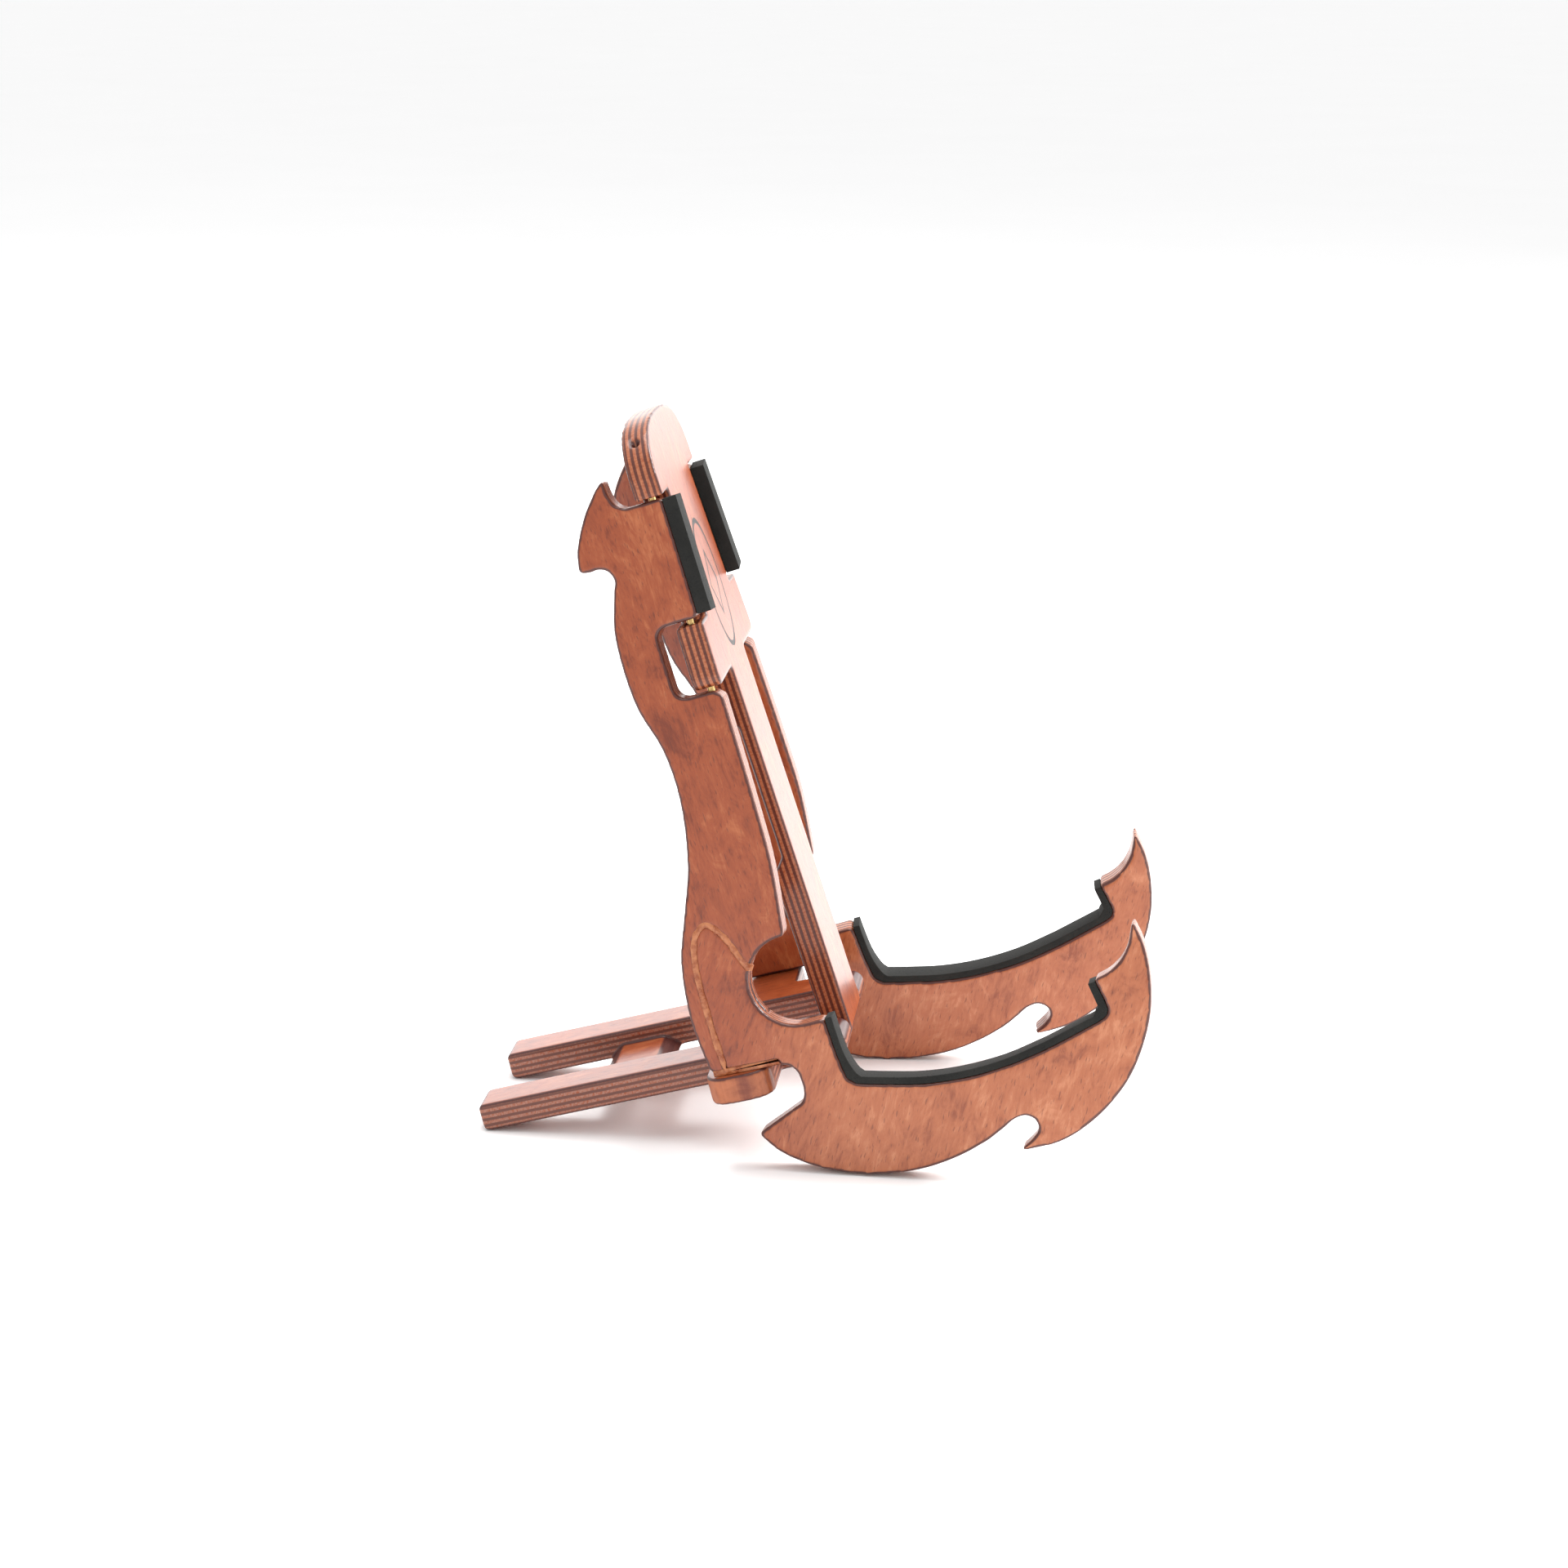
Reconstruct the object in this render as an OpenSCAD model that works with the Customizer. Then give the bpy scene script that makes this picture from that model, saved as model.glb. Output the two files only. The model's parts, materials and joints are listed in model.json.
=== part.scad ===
// Folding wooden guitar stand: a leaning spine, two hinged side panels with cradle arms,
// and a pivoting fork base.
// Frame: X across the stand, the cradles point to -Y, Z up, floor at Z = 0.

/* [Boards] */
// Thickness of every plywood board
ply = 12; // [11:0.5:13]
// Lean of the spine from the vertical, degrees
lean = 18; // [17:0.5:19]
// Height of the base pivot above the floor
pivot_z = 45; // [44:0.5:47]
// Place of the base pivot along Y
pivot_y = -10.3; // [-12:0.1:-8]

/* [Spine] */
// Height of the spine above the base pivot
spine_h = 278; // [274:1:284]
// Width of the narrow lower bar
bar_w = 42; // [36:1:43]
// Rise of the rounded top above the straight sides of the head
crown_h = 21; // [18:1:26]

/* [Side panels] */
// Distance of each hinge line from the middle, at the base pivot's height
hinge_x = 67.4; // [66:0.2:69]
// Slant of each hinge line towards the middle as it rises, degrees
hinge_slant = 6.2; // [5.8:0.1:6.6]
// Outward turn of each panel about its hinge line when set up, degrees
toe_out = 1.2; // [0.6:0.2:2]
// Free gap between a panel and the spine at each hinge joint
hinge_gap = 1.6; // [1.2:0.1:2]

/* [Pins] */
// Radius of the brass hinge rods
rod_r = 1.5; // [1.2:0.1:2]
// Radius of the steel base pivot pin
pin_r = 2; // [1.5:0.1:2.5]
// Radial clearance where a pin turns in wood
run_gap = 0.06; // [0.03:0.01:0.1]

/* [Base] */
// Length of each prong from the pivot to its rear end
prong_l = 159; // [154:1:162]
// Width of each prong
prong_w = 21.5; // [19:0.5:23]
// Free width between the prongs
fork_gap = 44; // [44:0.5:46]
// Reach of each ear from the middle
ear_x = 75; // [73:0.5:77]

/* [Pads] */
// Thickness of the foam pads against the instrument's back
back_pad_t = 6; // [4:0.5:7]
// Thickness of the foam strips in the cradles
cradle_pad_t = 3; // [2:0.5:5]

/* [Hidden] */
$fn = 48;
half = ply / 2;

// Levels along the spine, measured up from the base pivot
shoulder_low = 166;
shoulder_high = 193.4;
knuckle_low = (shoulder_high + hinge_gap) / cos(hinge_slant);
knuckle_high = 247.5;
cap_low = knuckle_high * cos(hinge_slant) + hinge_gap;
leg_top = (shoulder_low - hinge_gap) / cos(hinge_slant);
rod_top = 266;
rod_low = 140;

// Panel outline: c runs forward from the hinge line, a runs up along it
front_c = 5;
bay_c = -2.5;
bay_a = 39.7;
bay_r = 19;
seam_c = -18.5;
bay_end_a = bay_a - sqrt(bay_r * bay_r - (seam_c - bay_c) * (seam_c - bay_c));
notch_c = -14.3;
notch_r = 5;
tongue_t = half - 0.3;
foot_gap = 1;
rod_slack = 2;

// Pads: bare edge of the board beside a pad, and bare length below a back pad
pad_edge = 0.5;
pad_low = 1.4;

// Base
end_r = 2;
ear_from = 24;
ear_to = 52;
bridge_from = 78;
bridge_to = 112;
rebate_from = 72;
rebate_to = 148;
tilt = asin((pivot_z - end_r) / norm([prong_l - end_r, half - end_r]))
    - atan((half - end_r) / (prong_l - end_r));
skew = lean - tilt;

wood = [0.73, 0.41, 0.29];
wood_dark = [0.62, 0.32, 0.22];
foam = [0.13, 0.13, 0.14];
brass = [0.85, 0.66, 0.32];
steel = [0.7, 0.7, 0.72];

// Lower edge of a panel, kept just above the top face of the base
function foot_a(c) = (half / cos(skew) - c * tan(skew) + foot_gap) / cos(hinge_slant);

// X of a hinge line at height s along the spine
function hinge_at(s) = hinge_x - s * tan(hinge_slant);

// Points of a circular arc
function arc(p, r, from, to, n = 10) =
    [for (i = [0:n]) p + r * [cos(from + (to - from) * i / n), sin(from + (to - from) * i / n)]];

// One span of a Catmull-Rom curve
function span(p, q, r, s, t) =
    0.5 * (2 * q + (r - p) * t + (2 * p - 5 * q + 4 * r - s) * t * t
        + (3 * q - p - 3 * r + s) * t * t * t);

// Smooth curve through a run of points, n steps in each span
function curve(pts, n = 5) =
    let (m = len(pts) - 1, q = concat([2 * pts[0] - pts[1]], pts, [2 * pts[m] - pts[m - 1]]))
    concat([for (k = [0:m - 1], i = [0:n - 1]) span(q[k], q[k + 1], q[k + 2], q[k + 3], i / n)],
        [pts[m]]);

// ---------- placing ----------

// Spine frame: x across, y up along the spine, z forward
module spine_frame() {
    translate([0, pivot_y, pivot_z]) rotate([90 - lean, 0, 0]) children();
}

// Left panel frame: x forward, y up along the hinge line, z outward
module panel_frame() {
    spine_frame()
        translate([-hinge_x, 0, 0])
        rotate([0, 0, -hinge_slant])
        rotate([0, -90 - toe_out, 0])
        children();
}

// Base frame: x across, y rearward along the prongs, z up through the board
module base_frame() {
    translate([0, pivot_y, pivot_z]) rotate([-tilt, 0, 0]) children();
}

module both() {
    children();
    mirror([1, 0, 0]) children();
}

module on_right() {
    mirror([1, 0, 0]) children();
}

// ---------- spine ----------

// Half outline of the head: lower shoulder, hinge notch, upper shoulder and rounded top
module head_half() {
    reach = half + 0.5;
    wall = 9.8;
    corner = 5;
    side = hinge_at(cap_low) + reach;
    low_side = hinge_at(shoulder_low) + reach;
    side_h = spine_h - crown_h;
    polygon(concat(
        [[0, shoulder_low]],
        arc([low_side - corner, shoulder_low + corner], corner, -90, 0, 6),
        [[hinge_at(shoulder_high) + reach, shoulder_high],
         [hinge_at(shoulder_high) - wall, shoulder_high],
         [hinge_at(cap_low) - wall, cap_low],
         [side, cap_low]],
        curve([[side, side_h], [0.93 * side, side_h + 0.4 * crown_h],
            [0.72 * side, side_h + 0.78 * crown_h], [0.38 * side, side_h + 0.96 * crown_h],
            [0, spine_h]], 6)));
}

module hinge_line(r, from, to) {
    translate([-hinge_x, 0, 0])
        rotate([0, 0, -hinge_slant])
        rotate([-90, 0, 0])
        translate([0, 0, from])
        cylinder(r = r, h = to - from);
}

module spine() {
    color(wood) spine_frame() difference() {
        union() {
            translate([0, 0, -half]) linear_extrude(ply) {
                both() head_half();
                translate([-bar_w / 2, 0]) square([bar_w, shoulder_low + 1]);
            }
            rotate([0, 90, 0]) cylinder(r = half, h = bar_w, center = true);
        }
        both() hinge_line(rod_r, rod_low, spine_h + 10);
        rotate([0, 90, 0]) cylinder(r = pin_r, h = bar_w + 2, center = true);
        bar_rebate();
    }
}

// Stopped rebate across the back of the bar, which takes the base's bridge when folded
module bar_rebate() {
    rotate([90, 0, 90])
        translate([0, 0, -bar_w])
        linear_extrude(2 * bar_w)
        polygon([
            [rebate_from, -half - 1],
            [rebate_from + 8, 0],
            [rebate_to - 8, 0],
            [rebate_to, -half - 1]]);
}

// ---------- base ----------

module prong_side() {
    translate([0, -half]) square([prong_l - end_r, ply]);
    translate([0, -half + end_r]) square([prong_l, ply - 2 * end_r]);
    translate([prong_l - end_r, half - end_r]) circle(r = end_r);
    translate([prong_l - end_r, -half + end_r]) circle(r = end_r);
    circle(r = half);
}

module prong() {
    translate([fork_gap / 2, 0, 0])
        rotate([90, 0, 90])
        linear_extrude(prong_w)
        prong_side();
}

module ear() {
    r = 9;
    from_x = fork_gap / 2 + prong_w - 1;
    translate([0, 0, -half]) linear_extrude(ply) {
        translate([from_x, ear_from]) square([ear_x - r - from_x, ear_to - ear_from]);
        translate([from_x, ear_from + r]) square([ear_x - from_x, ear_to - ear_from - 2 * r]);
        translate([ear_x - r, ear_from + r]) circle(r = r);
        translate([ear_x - r, ear_to - r]) circle(r = r);
    }
}

// Half-thick bridge between the prongs, with sloped ends
module bridge() {
    rotate([90, 0, 90])
        translate([0, 0, -fork_gap / 2 - 1])
        linear_extrude(fork_gap + 2)
        polygon([
            [bridge_from, -half],
            [bridge_from + 7, -0.5],
            [bridge_to - 7, -0.5],
            [bridge_to, -half]]);
}

module base() {
    color(wood_dark) base_frame() difference() {
        union() {
            both() prong();
            both() ear();
            bridge();
        }
        rotate([0, 90, 0]) cylinder(r = pin_r + run_gap, h = 4 * ear_x, center = true);
    }
}

module base_pin() {
    len_x = fork_gap + 2 * prong_w - 2;
    color(steel) base_frame() rotate([0, 90, 0]) cylinder(r = pin_r, h = len_x, center = true);
}

// ---------- side panels ----------

// Outline of the leg board, with its hinge knuckle, notches and bay
module leg_outline() {
    polygon(concat(
        [[front_c, knuckle_high - 1.5], [front_c, knuckle_low + 1.5]],
        [[front_c - 1.5, knuckle_low]],
        arc([notch_c + notch_r, knuckle_low - notch_r], notch_r, 90, 180, 6),
        arc([notch_c + notch_r, leg_top + notch_r], notch_r, 180, 270, 6),
        [[front_c - 3, leg_top]],
        curve([[front_c, leg_top - 3], [4.8, 138], [4.4, 113], [3.5, 89], [-0.3, 60]], 4),
        [[-0.9, bay_a + bay_r]],
        arc([bay_c, bay_a], bay_r, 90, 180 + acos((bay_c - seam_c) / bay_r), 14),
        [[seam_c, foot_a(seam_c)]],
        [[-47, foot_a(-47)]],
        curve([[-48.5, 12.5], [-49.8, 35], [-46.4, 59], [-38.6, 79], [-31, 98.5], [-26, 124],
            [-26.4, 147], [-31.8, 169], [-31.6, 197], [-26.2, 216]], 5),
        arc([-30.6, 220.6], 6.2, -12, 112, 7),
        [[-37.2, 227.2]],
        curve([[-37.8, 228.6], [-35.4, 237.5], [-28.8, 249], [-21.8, 257.2], [-17.6, 261]], 4),
        curve([[-16.8, 260.8], [-16.4, 255], [-14.6, 250], [-11, knuckle_high]], 3),
        [[front_c - 1.5, knuckle_high]]));
}

// Outline of the arm's tongue, let into the outer face of the leg
module tongue_outline() {
    polygon(concat(
        arc([bay_c, bay_a], bay_r, 180 + acos((bay_c - seam_c) / bay_r), 150, 10),
        curve([[-21.4, 55], [-23.6, 61.8], [-26.8, 68], [-31, 72.2], [-35, 70.6], [-38.2, 66.2],
            [-40.6, 57], [-41.6, 45], [-42, 25], [-41.5, foot_a(-41.5)]], 4),
        [[seam_c, foot_a(seam_c)]]));
}

// Outline of the full-thickness part of the arm board
module arm_outline() {
    polygon(concat(
        arc([bay_c, bay_a], bay_r, 180 + acos((bay_c - seam_c) / bay_r), 270, 6),
        [[4, bay_a - bay_r], [5.4, bay_a - bay_r - 1.2]],
        curve([[5.5, 17], [6, 4], [7.2, -6.4]], 2),
        curve([[10.4, -9.6], [19.4, -12.2], [36, -16.6], [54, -18.8], [73, -18.6], [92, -15.8],
            [114.6, -10.6]], 4),
        curve([[117.8, -9.6], [120.6, -6.4], [118.6, 6.2]], 2),
        curve([[119.2, 7.4], [125, 8.6], [131, 12], [136, 17.5], [140, 25.8]], 3),
        curve([[141, 25.6], [142.4, 15], [141.2, 2], [137.2, -12], [130.2, -25], [121, -36.6],
            [110, -45.4], [98, -51.8], [85, -55.4], [70.4, -55.2]], 4),
        curve([[69.2, -54.2], [75, -51.2], [78.6, -47.6], [78, -43.4], [74.6, -40.8],
            [69.8, -41.2], [65, -43.6]], 3),
        curve([[56.8, -47.2], [44, -50.5], [29, -52], [14, -50.6], [-1, -46.7],
            [-16, -40], [-29, -30.2], [-36, -20.2]], 4),
        [[-34.8, -19]],
        curve([[-14.6, -11.6], [-12.4, -8], [-12, -3], [-12.6, 2], [-15.2, 5.2], [seam_c, 6.2]], 3),
        [[seam_c, foot_a(seam_c)]]));
}

module leg() {
    panel_frame() difference() {
        translate([0, 0, -half]) linear_extrude(ply) leg_outline();
        linear_extrude(ply) tongue_outline();
        rotate([-90, 0, 0])
            translate([0, 0, rod_low - rod_slack])
            cylinder(r = rod_r + run_gap, h = spine_h - rod_low);
    }
}

module arm() {
    panel_frame() {
        translate([0, 0, -half]) linear_extrude(ply) arm_outline();
        linear_extrude(tongue_t) tongue_outline();
    }
}

module hinge_rod() {
    spine_frame() hinge_line(rod_r, rod_low, rod_top);
}

// ---------- pads ----------

module back_pad() {
    panel_frame()
        translate([front_c, knuckle_low + pad_low, -half + pad_edge])
        cube([back_pad_t, knuckle_high - knuckle_low - pad_low - pad_edge, ply - 2 * pad_edge]);
}

// Bent strip of even thickness that lines the seat of the cradle
module cradle_strip() {
    t = cradle_pad_t;
    polygon(concat(
        [[5.5, bay_a - bay_r]],
        curve([[5.5, 17], [6, 4], [7.2, -6.4]], 2),
        curve([[10.4, -9.6], [19.4, -12.2], [36, -16.6], [54, -18.8], [73, -18.6], [92, -15.8],
            [114.6, -10.6]], 4),
        curve([[117.8, -9.6], [120.6, -6.4], [118.6, 6.2]], 2),
        [[118.6 - t, 6.2 - 0.3]],
        curve([[120 - t, -4.5], [117.6 - t, -9.8 + t], [114, -10.8 + t]], 2),
        curve([[91.4, -15.8 + t], [72.8, -18.6 + t], [54, -18.8 + t], [36.8, -16.6 + t],
            [20.6, -12.4 + t]], 4),
        curve([[13.2, -10.2 + t], [10.8 + 0.3, -4], [6 + t, 4.6], [5.5 + t, 17]], 3),
        [[5.5 + t, bay_a - bay_r]]));
}

module cradle_pad() {
    panel_frame()
        translate([0, 0, -half + pad_edge])
        linear_extrude(ply - 2 * pad_edge)
        cradle_strip();
}

spine();
base();
color(wood) leg();  // leg_left
color(wood) on_right() leg();  // leg_right
color(wood) arm();  // arm_left
color(wood) on_right() arm();  // arm_right
color(brass) hinge_rod();  // hinge_rod_left
color(brass) on_right() hinge_rod();  // hinge_rod_right
base_pin();
color(foam) back_pad();  // back_pad_left
color(foam) on_right() back_pad();  // back_pad_right
color(foam) cradle_pad();  // cradle_pad_left
color(foam) on_right() cradle_pad();  // cradle_pad_right
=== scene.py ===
import json
import math

import bmesh
import bpy
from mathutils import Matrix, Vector

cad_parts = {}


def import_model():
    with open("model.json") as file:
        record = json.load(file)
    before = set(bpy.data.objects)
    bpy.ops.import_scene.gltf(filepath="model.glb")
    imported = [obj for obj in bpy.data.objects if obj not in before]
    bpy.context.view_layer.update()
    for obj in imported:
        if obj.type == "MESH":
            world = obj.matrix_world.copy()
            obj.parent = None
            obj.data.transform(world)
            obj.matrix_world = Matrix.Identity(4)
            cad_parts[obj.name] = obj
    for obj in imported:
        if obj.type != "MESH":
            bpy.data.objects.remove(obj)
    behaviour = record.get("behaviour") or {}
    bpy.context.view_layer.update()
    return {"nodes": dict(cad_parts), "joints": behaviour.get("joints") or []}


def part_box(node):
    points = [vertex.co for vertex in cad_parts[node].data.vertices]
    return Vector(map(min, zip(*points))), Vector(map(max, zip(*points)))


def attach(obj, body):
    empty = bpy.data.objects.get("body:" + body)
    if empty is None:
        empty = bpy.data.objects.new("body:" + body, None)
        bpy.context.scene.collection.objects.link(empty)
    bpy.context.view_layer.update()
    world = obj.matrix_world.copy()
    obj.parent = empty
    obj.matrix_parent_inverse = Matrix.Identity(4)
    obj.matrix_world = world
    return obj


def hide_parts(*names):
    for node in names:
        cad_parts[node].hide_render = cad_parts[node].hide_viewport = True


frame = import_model()

MM = 0.001
LEGS = ("leg_left", "leg_right")
ARMS = ("arm_left", "arm_right")
PLIES = 9


# ---------- reading the frame ----------


def joint(name):
    return next(j for j in frame["joints"] if j["name"] == name)


def plate_normal(node):
    """The normal of a flat board, which is that of its largest flat face."""
    areas = {}
    for face in frame["nodes"][node].data.polygons:
        key = tuple(round(c, 2) for c in face.normal)
        total, weighted = areas.get(key, (0.0, Vector()))
        areas[key] = (total + face.area, weighted + face.normal * face.area)
    return max(areas.values(), key=lambda a: a[0])[1].normalized()


def plate_axes(node, grain):
    """A board's normal, grain and cross directions, middle point and thickness."""
    normal = plate_normal(node)
    grain = (grain - normal * grain.dot(normal)).normalized()
    spots = [v.co.dot(normal) for v in frame["nodes"][node].data.vertices]
    middle = (min(spots) + max(spots)) / 2
    return normal, grain, normal.cross(grain), normal * middle, max(spots) - min(spots)


# ---------- node material helpers ----------


class Mat:
    """A node material with short helpers for the maths that the wood and foam share."""

    def __init__(self, name):
        self.mat = bpy.data.materials.new(name)
        self.mat.use_nodes = True
        self.tree = self.mat.node_tree
        self.shader = self.tree.nodes["Principled BSDF"]

    def node(self, kind, **values):
        n = self.tree.nodes.new(kind)
        for key, value in values.items():
            setattr(n, key, value)
        return n

    def link(self, a, b):
        self.tree.links.new(a, b)

    def put(self, socket, value):
        if hasattr(value, "is_output"):
            self.link(value, socket)
        else:
            socket.default_value = value

    def math(self, op, a, b=0.0, c=0.0):
        n = self.node("ShaderNodeMath", operation=op)
        for socket, value in zip(n.inputs, (a, b, c)):
            self.put(socket, value)
        return n.outputs[0]

    def dot(self, a, axis, origin=None):
        if origin is not None:
            shift = self.node("ShaderNodeVectorMath", operation="SUBTRACT")
            self.put(shift.inputs[0], a)
            shift.inputs[1].default_value = origin
            a = shift.outputs[0]
        n = self.node("ShaderNodeVectorMath", operation="DOT_PRODUCT")
        self.put(n.inputs[0], a)
        n.inputs[1].default_value = axis
        return n.outputs["Value"]

    def xyz(self, x, y, z):
        n = self.node("ShaderNodeCombineXYZ")
        for socket, value in zip(n.inputs, (x, y, z)):
            self.put(socket, value)
        return n.outputs[0]

    def noise(self, vector, scale, detail=3.0, rough=0.55, distort=0.0):
        n = self.node("ShaderNodeTexNoise", noise_dimensions="3D")
        self.put(n.inputs["Vector"], vector)
        n.inputs["Scale"].default_value = scale
        n.inputs["Detail"].default_value = detail
        n.inputs["Roughness"].default_value = rough
        n.inputs["Distortion"].default_value = distort
        return n.outputs["Fac"]

    def ramp(self, value, low, high, to_low=0.0, to_high=1.0):
        n = self.node("ShaderNodeMapRange", interpolation_type="SMOOTHSTEP")
        for socket, number in zip(n.inputs, (value, low, high, to_low, to_high)):
            self.put(socket, number)
        return n.outputs[0]

    def mix(self, factor, a, b):
        """A blend of two colours. Inputs 6 and 7 are the node's A and B when it mixes colours."""
        n = self.node("ShaderNodeMix", data_type="RGBA")
        self.put(n.inputs[0], factor)
        self.put(n.inputs[6], (*a, 1.0) if isinstance(a, tuple) else a)
        self.put(n.inputs[7], (*b, 1.0) if isinstance(b, tuple) else b)
        return n.outputs[2]

    def bump(self, height, distance):
        n = self.node("ShaderNodeBump")
        n.inputs["Strength"].default_value = 1.0
        n.inputs["Distance"].default_value = distance
        self.put(n.inputs["Height"], height)
        return n.outputs[0]


# ---------- plywood ----------

# Stain on the faces: dark, middle and light
RED_STAIN = ((0.165, 0.026, 0.006), (0.295, 0.058, 0.015), (0.425, 0.122, 0.042))
TAN_STAIN = ((0.240, 0.052, 0.016), (0.400, 0.116, 0.044), (0.540, 0.205, 0.098))
# Plies on the edges: cross-grained and lengthwise
RED_PLIES = ((0.080, 0.015, 0.006), (0.420, 0.140, 0.060))
DULL_PLIES = ((0.120, 0.040, 0.026), (0.360, 0.160, 0.110))
PORE = (0.085, 0.016, 0.006)
# Painted shade: the dark colour laid on every rounded edge in place of the dark reflection on the
# lacquered round-overs
PAINTED_EDGE_SHADE = (0.050, 0.010, 0.009)
BURN = (0.012, 0.006, 0.004)

# Figure: each noise's scale, and the factor below 1 that draws it out along the grain
STREAK_SCALE, STREAK_SQUEEZE = 560.0, 0.16
FLAME_SCALE, FLAME_SQUEEZE = 95.0, 0.45
PORE_SCALE, PORE_SQUEEZE = 1150.0, 0.20
CLOUD_SCALE = 34.0
PLY_WAVE_SCALE = 120.0
END_GRAIN_SCALE = 900.0

# How much of the face's tone comes from each
STREAK_SHARE, FLAME_SHARE, CLOUD_SHARE = 0.30, 0.44, 0.44

# The outermost plies are veneers of face wood: dark plies fade out over this part of the thickness
VENEER_OUTER, VENEER_INNER = 0.425, 0.385

# How strongly the painted edge shade darkens the rounded edges
PAINTED_EDGE_SHADE_STRENGTH = 0.92
WOOD_SPECULAR = 0.30
COAT = 0.50
COAT_DULLNESS = 0.18
WOOD_IOR = 1.5
WOOD_RELIEF = 0.00012


def plywood(name, node, grain, shift, stain, plies, mark=None, plain=None, fade=None):
    """Stained birch plywood: figured faces, striped edges with nine plies, and a thin lacquer."""
    stain_dark, stain_mid, stain_light = stain
    ply_dark, ply_light = plies
    normal, grain, across, middle, thick = plate_axes(node, grain)
    m = Mat(name)
    spot = m.node("ShaderNodeTexCoord")
    point = spot.outputs["Object"]
    depth = m.dot(point, normal, middle)
    along = m.dot(point, grain)
    side = m.dot(point, across)
    facing = m.math("ABSOLUTE", m.dot(spot.outputs["Normal"], normal))
    face = m.ramp(facing, 0.80, 0.97)

    # Face figure: long streaks, broad stain clouds, a wavy flame and short dark pores
    streak_along = m.math("MULTIPLY_ADD", along, STREAK_SQUEEZE, shift)
    streak_way = m.xyz(streak_along, side, m.math("MULTIPLY", depth, 0.3))
    flame_way = m.xyz(m.math("MULTIPLY_ADD", along, FLAME_SQUEEZE, shift), side, shift)
    streak = m.noise(streak_way, STREAK_SCALE, 4.0, 0.66, 0.6)
    flame = m.noise(flame_way, FLAME_SCALE, 4.0, 0.66, 2.2)
    cloud = m.noise(m.xyz(along, side, shift), CLOUD_SCALE, 4.0, 0.62, 0.8)
    fleck_way = m.xyz(m.math("MULTIPLY_ADD", along, PORE_SQUEEZE, shift), side, 0.0)
    fleck = m.ramp(m.noise(fleck_way, PORE_SCALE, 1.0, 0.5), 0.63, 0.72)
    tone = m.math("MULTIPLY", streak, STREAK_SHARE)
    tone = m.math("MULTIPLY_ADD", flame, FLAME_SHARE, tone)
    tone = m.math("MULTIPLY_ADD", cloud, CLOUD_SHARE, tone)
    if fade:
        deep = fade(m, point)
        stain_dark, stain_mid, stain_light = (
            m.mix(deep, own, red) for own, red in zip(stain, RED_STAIN))
    face_low = m.mix(m.ramp(tone, 0.42, 0.60), stain_dark, stain_mid)
    face_colour = m.mix(m.ramp(tone, 0.58, 0.78), face_low, stain_light)
    face_colour = m.mix(m.math("MULTIPLY", fleck, 0.5), face_colour, PORE)

    # Edge: nine plies across the thickness, every second one cross-grained and dark
    wobble = m.noise(m.xyz(along, side, shift), PLY_WAVE_SCALE, 2.0, 0.5)
    ply = m.math("MULTIPLY_ADD", depth, PLIES / thick, PLIES / 2)
    ply = m.math("ADD", ply, m.math("MULTIPLY_ADD", wobble, 0.24, -0.12))
    turn = m.math("PINGPONG", ply, 1.0)
    dark = m.ramp(turn, 0.36, 0.66)
    inside = m.ramp(m.math("ABSOLUTE", depth), thick * VENEER_OUTER, thick * VENEER_INNER)
    dark = m.math("MULTIPLY", dark, inside)
    layer = m.math("MULTIPLY", m.math("FLOOR", ply), 0.37)
    end_grain = m.noise(m.xyz(along, side, layer), END_GRAIN_SCALE, 3.0, 0.7)
    light_ply = m.mix(m.ramp(end_grain, 0.30, 0.65), stain_mid, ply_light)
    dark_ply = m.mix(m.ramp(end_grain, 0.40, 0.85), ply_dark, stain_dark)
    if plain:
        bare = plain(m, point)
        dark = m.math("MULTIPLY", dark, bare)
    edge_colour = m.mix(dark, light_ply, dark_ply)
    if plain:
        even = m.mix(m.ramp(tone, 0.45, 0.72), stain_dark, stain_light)
        edge_colour = m.mix(bare, even, edge_colour)
    colour = m.mix(face, edge_colour, face_colour)

    # Painted shade: a dark band where the face rolls over into the edge, standing in for the dark
    # reflection on the lacquered round-overs; the rim mask below is this painted shade
    rim = m.math("MULTIPLY", m.ramp(facing, 0.12, 0.50), m.ramp(facing, 0.998, 0.94))
    colour = m.mix(m.math("MULTIPLY", rim, PAINTED_EDGE_SHADE_STRENGTH), colour, PAINTED_EDGE_SHADE)

    # Relief: open pores on the faces, sunken dark plies on the edges
    height = m.math("MULTIPLY_ADD", streak, 0.5, m.math("MULTIPLY", fleck, -0.5))
    edge_height = m.math("MULTIPLY_ADD", dark, -0.9, m.math("MULTIPLY", end_grain, 0.6))
    spread = m.math("SUBTRACT", 1.0, face)
    height = m.math("MULTIPLY_ADD", spread, edge_height, m.math("MULTIPLY", height, face))

    if mark:
        line = mark(m, point)
        colour = m.mix(m.math("MULTIPLY", line, face), colour, BURN)
        height = m.math("MULTIPLY_ADD", line, -3.0, height)
        m.put(m.shader.inputs["Coat Weight"], m.math("MULTIPLY_ADD", line, -COAT, COAT))
    else:
        m.shader.inputs["Coat Weight"].default_value = COAT

    m.put(m.shader.inputs["Base Color"], colour)
    dullness = m.math("MULTIPLY_ADD", cloud, 0.12, 0.30)
    dullness = m.math("MULTIPLY_ADD", spread, 0.16, dullness)
    m.put(m.shader.inputs["Roughness"], dullness)
    m.shader.inputs["Specular IOR Level"].default_value = WOOD_SPECULAR
    m.shader.inputs["Coat Roughness"].default_value = COAT_DULLNESS
    m.shader.inputs["IOR"].default_value = WOOD_IOR
    m.put(m.shader.inputs["Normal"], m.bump(height, WOOD_RELIEF))
    return m.mat


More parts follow.
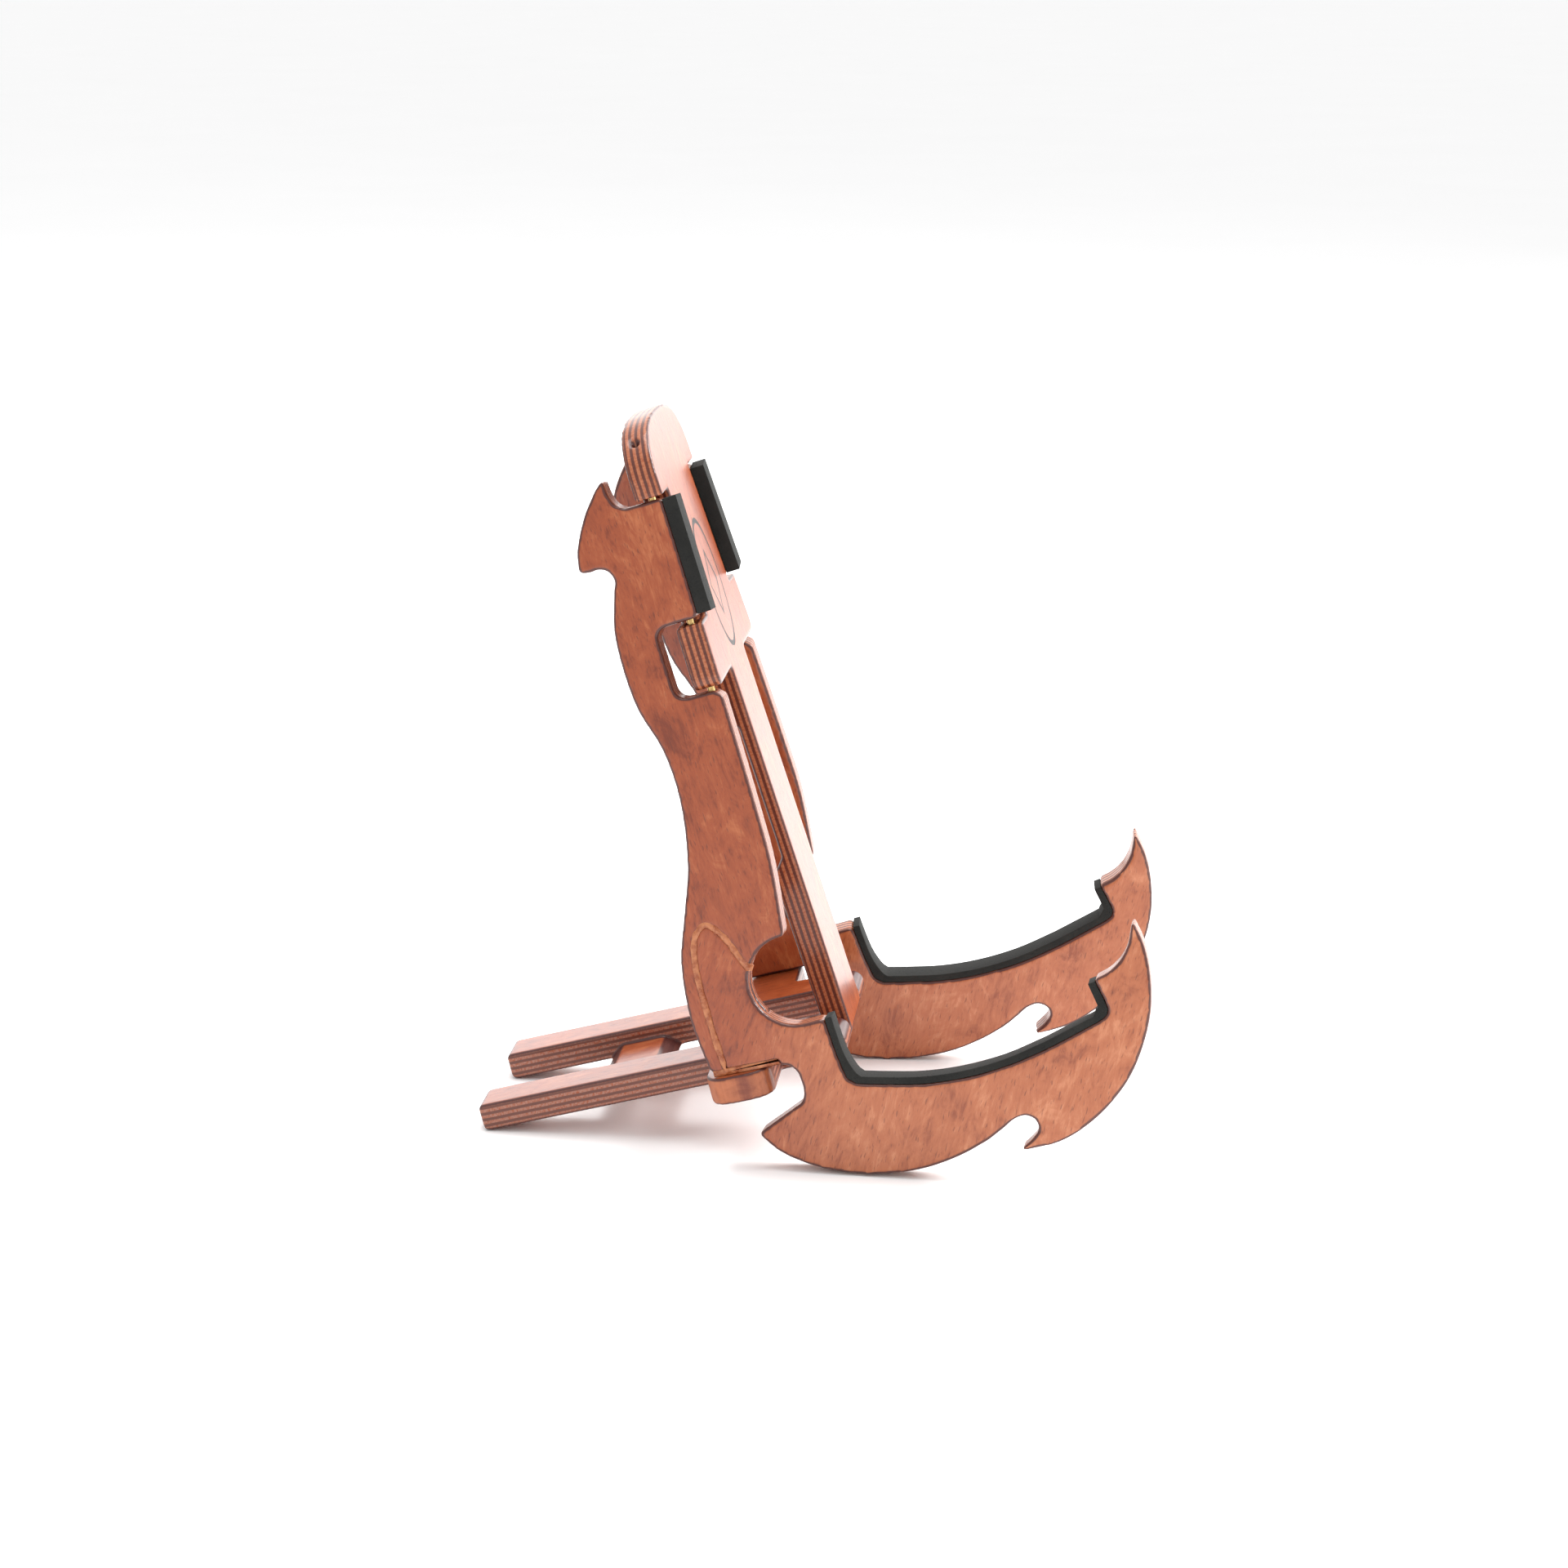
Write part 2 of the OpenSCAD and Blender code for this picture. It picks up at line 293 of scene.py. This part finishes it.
def oval_mark(centre, up, right, front, half_tall, half_wide, line):
    """A plain burnt oval with a lozenge in it, on the front face of the spine only."""

    def build(m, point):
        tall = m.math("DIVIDE", m.dot(point, up, centre), half_tall)
        wide = m.math("DIVIDE", m.dot(point, right, centre), half_wide)
        squares = m.math("MULTIPLY_ADD", tall, tall, m.math("MULTIPLY", wide, wide))
        radius = m.math("SQRT", squares)
        off = m.math("ABSOLUTE", m.math("SUBTRACT", radius, 1.0))
        diamond = m.math("ADD", m.math("ABSOLUTE", tall), m.math("ABSOLUTE", wide))
        inner = m.math("ABSOLUTE", m.math("SUBTRACT", diamond, 0.5))
        drawn = m.ramp(m.math("MINIMUM", off, inner), line, line * 0.6)
        on_front = m.math("GREATER_THAN", m.dot(point, front, centre), 0.0)
        return m.math("MULTIPLY", drawn, on_front)

    return build


def sanded_ears(reach, start):
    """1 along the prongs, 0 on the rounded ears, where heavy sanding and stain hide the plies."""

    def build(m, point):
        out = m.math("ABSOLUTE", m.dot(point, (1, 0, 0)))
        return m.ramp(out, reach, start)

    return build


def deeper_towards(start, end):
    """0 at the front of an arm, 1 where it runs up into the redder leg."""

    def build(m, point):
        return m.ramp(m.dot(point, (0, 1, 0)), start, end)

    return build


# ---------- foam and metal ----------


FOAM_DARK, FOAM_DUSTY = (0.010, 0.010, 0.009), (0.022, 0.022, 0.020)
FOAM_PIT = (0.008, 0.008, 0.009)
FOAM_CELL_SCALE = 2300.0
FOAM_SPECULAR = 0.25
FOAM_RELIEF = 0.00010
AMBER_DEEP, AMBER_THIN = (0.27, 0.062, 0.016), (0.46, 0.165, 0.065)
LACQUER_RELIEF = 0.0002
SCRATCH_SCALE = 3200.0
SCRATCH_RELIEF = 0.00002


def foam(name):
    """Dark closed-cell foam rubber: fine cells, a few larger pits, and a dusty matt skin."""
    m = Mat(name)
    point = m.node("ShaderNodeTexCoord").outputs["Object"]
    cells = m.node("ShaderNodeTexVoronoi", feature="F1")
    m.put(cells.inputs["Vector"], point)
    cells.inputs["Scale"].default_value = FOAM_CELL_SCALE
    pits = m.ramp(m.noise(point, 900.0, 2.0, 0.6), 0.62, 0.70)
    dust = m.noise(point, 60.0, 4.0, 0.6)
    colour = m.mix(m.ramp(dust, 0.3, 0.75), FOAM_DARK, FOAM_DUSTY)
    colour = m.mix(m.math("MULTIPLY", pits, 0.6), colour, FOAM_PIT)
    m.put(m.shader.inputs["Base Color"], colour)
    m.put(m.shader.inputs["Roughness"], m.ramp(dust, 0.2, 0.8, 0.72, 0.90))
    m.shader.inputs["Specular IOR Level"].default_value = FOAM_SPECULAR
    height = m.math("MULTIPLY_ADD", pits, -1.2, cells.outputs["Distance"])
    m.put(m.shader.inputs["Normal"], m.bump(height, FOAM_RELIEF))
    return m.mat


def lacquer(name):
    """Amber lacquer pooled in a joint, a little uneven in colour."""
    m = Mat(name)
    point = m.node("ShaderNodeTexCoord").outputs["Object"]
    pool = m.noise(point, 260.0, 3.0, 0.6)
    colour = m.mix(m.ramp(pool, 0.35, 0.65), AMBER_DEEP, AMBER_THIN)
    m.put(m.shader.inputs["Base Color"], colour)
    m.put(m.shader.inputs["Roughness"], m.ramp(pool, 0.3, 0.7, 0.25, 0.40))
    m.put(m.shader.inputs["Normal"], m.bump(pool, LACQUER_RELIEF))
    return m.mat


def metal(name, colour, dull):
    """Drawn rod stock: fine lengthwise scratches and slight tarnish."""
    m = Mat(name)
    point = m.node("ShaderNodeTexCoord").outputs["Object"]
    lengthwise = m.xyz(m.dot(point, (1, 0, 0)), m.dot(point, (0, 1, 0)), 0.0)
    scratch = m.noise(lengthwise, SCRATCH_SCALE, 2.0, 0.6)
    tarnish = m.noise(point, 240.0, 3.0, 0.6)
    m.put(m.shader.inputs["Base Color"], m.mix(m.ramp(tarnish, 0.35, 0.75), colour, dull))
    m.shader.inputs["Metallic"].default_value = 1.0
    m.put(m.shader.inputs["Roughness"], m.ramp(scratch, 0.3, 0.7, 0.22, 0.38))
    m.put(m.shader.inputs["Normal"], m.bump(scratch, SCRATCH_RELIEF))
    return m.mat


# ---------- geometry ----------

# Rounding of the boards: mesh size, smoothing passes, and the share of faces kept
BOARD_CELL = 0.6 * MM
BOARD_PASSES = 28
BOARD_KEEP = 0.3

FOAM_EDGE = 0.3 * MM
WELD = 0.01 * MM

# Lacquer bead: half-height, width over height, how deep it sits, and points around its section
BEAD_HIGH = 0.45 * MM
BEAD_WIDTH = 3.2
BEAD_SUNK = 0.65
BEAD_RING = 8


def give(obj, material):
    obj.data.materials.clear()
    obj.data.materials.append(material)


def add(name, mesh):
    obj = bpy.data.objects.new(name, mesh)
    bpy.context.scene.collection.objects.link(obj)
    return obj


def round_over(obj):
    """Rounds every edge of a board as a router and sanding do: a fine even mesh, then relaxed."""
    remesh = obj.modifiers.new("even_mesh", "REMESH")
    remesh.mode = "VOXEL"
    remesh.voxel_size = BOARD_CELL
    remesh.use_smooth_shade = True
    relax = obj.modifiers.new("round_over", "SMOOTH")
    relax.factor = 0.5
    relax.iterations = BOARD_PASSES
    thin = obj.modifiers.new("fewer_faces", "DECIMATE")
    thin.ratio = BOARD_KEEP


def smooth(obj):
    for face in obj.data.polygons:
        face.use_smooth = True


def foam_piece(node, body, material):
    """A foam strip on the outline of its CAD solid, with soft edges."""
    mesh = frame["nodes"][node].data.copy()
    piece = add(node + "_foam", mesh)
    work = bmesh.new()
    work.from_mesh(mesh)
    bmesh.ops.remove_doubles(work, verts=work.verts, dist=WELD)
    work.to_mesh(mesh)
    work.free()
    bevel = piece.modifiers.new("soft_edge", "BEVEL")
    bevel.width = FOAM_EDGE
    bevel.segments = 3
    bevel.limit_method = "ANGLE"
    bevel.angle_limit = math.radians(38)
    smooth(piece)
    give(piece, material)
    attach(piece, body)
    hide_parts(node)


def pocket_rim(node, outward):
    """Points in order along the rim of a leg's pocket, where the arm's tongue is let in.

    The pocket's walls stop half way through the leg. So do a few facets at the hinge bore, so the
    rim is the longest chain of such walls' outer edges.
    """
    mesh = frame["nodes"][node].data
    depth = [v.co.dot(outward) for v in mesh.vertices]
    top = max(depth)
    floor_level = (top + min(depth)) / 2 - 0.2 * MM
    links = {}
    spots = {}
    for face in mesh.polygons:
        is_wall = abs(face.normal.dot(outward)) <= 0.1
        if not is_wall or min(depth[i] for i in face.vertices) < floor_level:
            continue
        rim = [i for i in face.vertices if depth[i] > top - 0.05 * MM]
        keys = [tuple(round(c, 5) for c in mesh.vertices[i].co) for i in rim]
        for key, i in zip(keys, rim):
            spots[key] = mesh.vertices[i].co.copy()
        for a, b in zip(keys, keys[1:]):
            links.setdefault(a, set()).add(b)
            links.setdefault(b, set()).add(a)
    longest = []
    for end in sorted(k for k in links if len(links[k]) == 1):
        path = [end]
        while ahead := [k for k in sorted(links[path[-1]]) if k not in path]:
            path.append(ahead[0])
        longest = max(longest, path, key=len)
    return [spots[k] for k in longest]


def seam_bead(node, body, side, material):
    """The raised line of lacquer and glue that fills the joint around the arm's tongue."""
    normal = plate_normal(node)
    outward = normal if normal.x * side > 0 else -normal
    path = pocket_rim(node, outward)
    verts, faces = [], []
    for i, spot in enumerate(path):
        along = (path[min(i + 1, len(path) - 1)] - path[max(i - 1, 0)]).normalized()
        across = along.cross(outward)
        high = BEAD_HIGH * (1 + 0.18 * math.sin(2.9 * i) * math.cos(1.3 * i))
        centre = spot - outward * (BEAD_SUNK * BEAD_HIGH)
        for k in range(BEAD_RING):
            turn = 2 * math.pi * k / BEAD_RING
            sideways = across * (math.cos(turn) * BEAD_WIDTH * high)
            verts.append(centre + sideways + outward * (math.sin(turn) * high))
    for i in range(len(path) - 1):
        for k in range(BEAD_RING):
            a, b = i * BEAD_RING + k, i * BEAD_RING + (k + 1) % BEAD_RING
            faces.append((a, b, b + BEAD_RING, a + BEAD_RING))
    faces.append(tuple(range(BEAD_RING))[::-1])
    faces.append(tuple(len(verts) - BEAD_RING + k for k in range(BEAD_RING)))
    mesh = bpy.data.meshes.new(node + "_seam")
    mesh.from_pydata(verts, [], faces)
    bead = add(node + "_seam", mesh)
    smooth(bead)
    give(bead, material)
    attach(bead, body)


# ---------- camera, light and stage ----------

# Angles in radians, the distance in metres, and the sensor and lens in millimetres
AZIMUTH = math.radians(-83.82)
ELEVATION = math.radians(15.0)
CAMERA_DISTANCE = 1.400
CAMERA_TARGET = Vector((0.0, 0.0157, 0.1486))
SENSOR = 36.0
LENS = 74.2875

FLOOR_HALF = 60.0
PAPER_DARK, PAPER_LIGHT = (0.93, 0.93, 0.93), (0.96, 0.96, 0.96)


def camera():
    back = Vector((
        math.sin(AZIMUTH) * math.cos(ELEVATION),
        -math.cos(AZIMUTH) * math.cos(ELEVATION),
        math.sin(ELEVATION)))
    data = bpy.data.cameras.new("camera")
    data.sensor_width = SENSOR
    data.lens = LENS
    obj = add("camera", data)
    obj.location = CAMERA_TARGET + back * CAMERA_DISTANCE
    obj.rotation_euler = (-back).to_track_quat("-Z", "Y").to_euler()
    bpy.context.scene.camera = obj


def softbox(name, place, aim, size, power):
    data = bpy.data.lights.new(name, "AREA")
    data.shape = "RECTANGLE"
    data.size, data.size_y = size
    data.energy = power
    obj = add(name, data)
    obj.location = place
    obj.rotation_euler = (Vector(aim) - Vector(place)).to_track_quat("-Z", "Y").to_euler()


def floor():
    signs = ((-1, -1), (1, -1), (1, 1), (-1, 1))
    corners = [(x * FLOOR_HALF, y * FLOOR_HALF, 0) for x, y in signs]
    mesh = bpy.data.meshes.new("floor")
    mesh.from_pydata(corners, [], [(0, 1, 2, 3)])
    obj = add("floor", mesh)
    m = Mat("floor_paper")
    point = m.node("ShaderNodeTexCoord").outputs["Object"]
    m.put(m.shader.inputs["Base Color"], m.mix(m.noise(point, 3.0, 3.0), PAPER_DARK, PAPER_LIGHT))
    m.shader.inputs["Roughness"].default_value = 0.7
    give(obj, m.mat)


def world(strength):
    w = bpy.data.worlds.new("studio")
    w.use_nodes = True
    back = w.node_tree.nodes["Background"]
    back.inputs["Color"].default_value = (1.0, 1.0, 1.0, 1.0)
    back.inputs["Strength"].default_value = strength
    bpy.context.scene.world = w


# ---------- build ----------

MARK_RISE = 63 * MM
MARK_HALF_TALL = 27.5 * MM
MARK_HALF_WIDE = 17 * MM
MARK_LINE = 0.055

# The ears begin this far in from the base's sides, and their stain blends over the next stretch
EAR_REACH = 8 * MM
EAR_BLEND = 3 * MM

# An arm's stain deepens to the leg's between these, on either side of the leg's front edge
DEEPEN_BEFORE = 30 * MM
DEEPEN_AFTER = 25 * MM

hinge_left = Vector(joint("panel_left_fold")["axis"]).normalized()
hinge_right = Vector(joint("panel_right_fold")["axis"]).normalized()
spine_up = Vector((0.0, hinge_left.y, hinge_left.z)).normalized()

spine_low, spine_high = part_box("spine")
spine_normal = plate_normal("spine")
spine_front = spine_normal if spine_normal.y < 0 else -spine_normal
mark_centre = (Vector(spine_low) + Vector(spine_high)) / 2
mark_centre = mark_centre + spine_up * MARK_RISE
mark_centre.x = 0.0
oval = oval_mark(
    mark_centre, spine_up, Vector((1, 0, 0)), spine_front,
    MARK_HALF_TALL, MARK_HALF_WIDE, MARK_LINE)

prong_edge = -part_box("base")[0][0] - EAR_REACH
ears = sanded_ears(prong_edge, prong_edge - EAR_BLEND)

leg_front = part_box("leg_left")[0][1]
arm_fade = deeper_towards(leg_front - DEEPEN_BEFORE, leg_front + DEEPEN_AFTER)
arm_grain = Vector((0, -0.22, 1))

give(frame["nodes"]["spine"], plywood(
    "spine_wood", "spine", spine_up, 0.31, RED_STAIN, RED_PLIES, mark=oval))
give(frame["nodes"]["base"], plywood(
    "base_wood", "base", Vector((0, 1, 0)), 0.77, RED_STAIN, DULL_PLIES, plain=ears))
for k, (node, hinge) in enumerate(zip(LEGS, (hinge_left, -hinge_right))):
    give(frame["nodes"][node], plywood(
        node + "_wood", node, hinge, 0.13 + 0.41 * k, RED_STAIN, RED_PLIES))
for k, node in enumerate(ARMS):
    give(frame["nodes"][node], plywood(
        node + "_wood", node, arm_grain, 0.57 + 0.29 * k, TAN_STAIN, RED_PLIES, fade=arm_fade))

for node in ("spine", "base") + LEGS + ARMS:
    round_over(frame["nodes"][node])

brass = metal("brass_rod", (0.80, 0.55, 0.22), (0.52, 0.34, 0.14))
steel = metal("steel_pin", (0.62, 0.62, 0.64), (0.42, 0.42, 0.43))
for node, stuff in (("hinge_rod_left", brass), ("hinge_rod_right", brass), ("base_pin", steel)):
    give(frame["nodes"][node], stuff)

black_foam = foam("black_foam")
for side in ("left", "right"):
    foam_piece("back_pad_" + side, "panel_" + side, black_foam)
    foam_piece("cradle_pad_" + side, "panel_" + side, black_foam)

amber = lacquer("amber_lacquer")
seam_bead("leg_left", "panel_left", -1, amber)
seam_bead("leg_right", "panel_right", 1, amber)

# Each softbox: place, aim and size in metres, then watts
camera()
floor()
world(1.0)
softbox("front", (0.8, -1.6, 1.4), (0, 0, 0.25), (1.2, 1.0), 66)
softbox("top", (0.25, 0.15, 2.0), (0, 0, 0.12), (1.2, 1.2), 26)
softbox("rim", (2.3, -0.1, 0.70), (0, 0, 0.25), (2.8, 1.1), 15)
bpy.context.scene.view_settings.view_transform = "Standard"
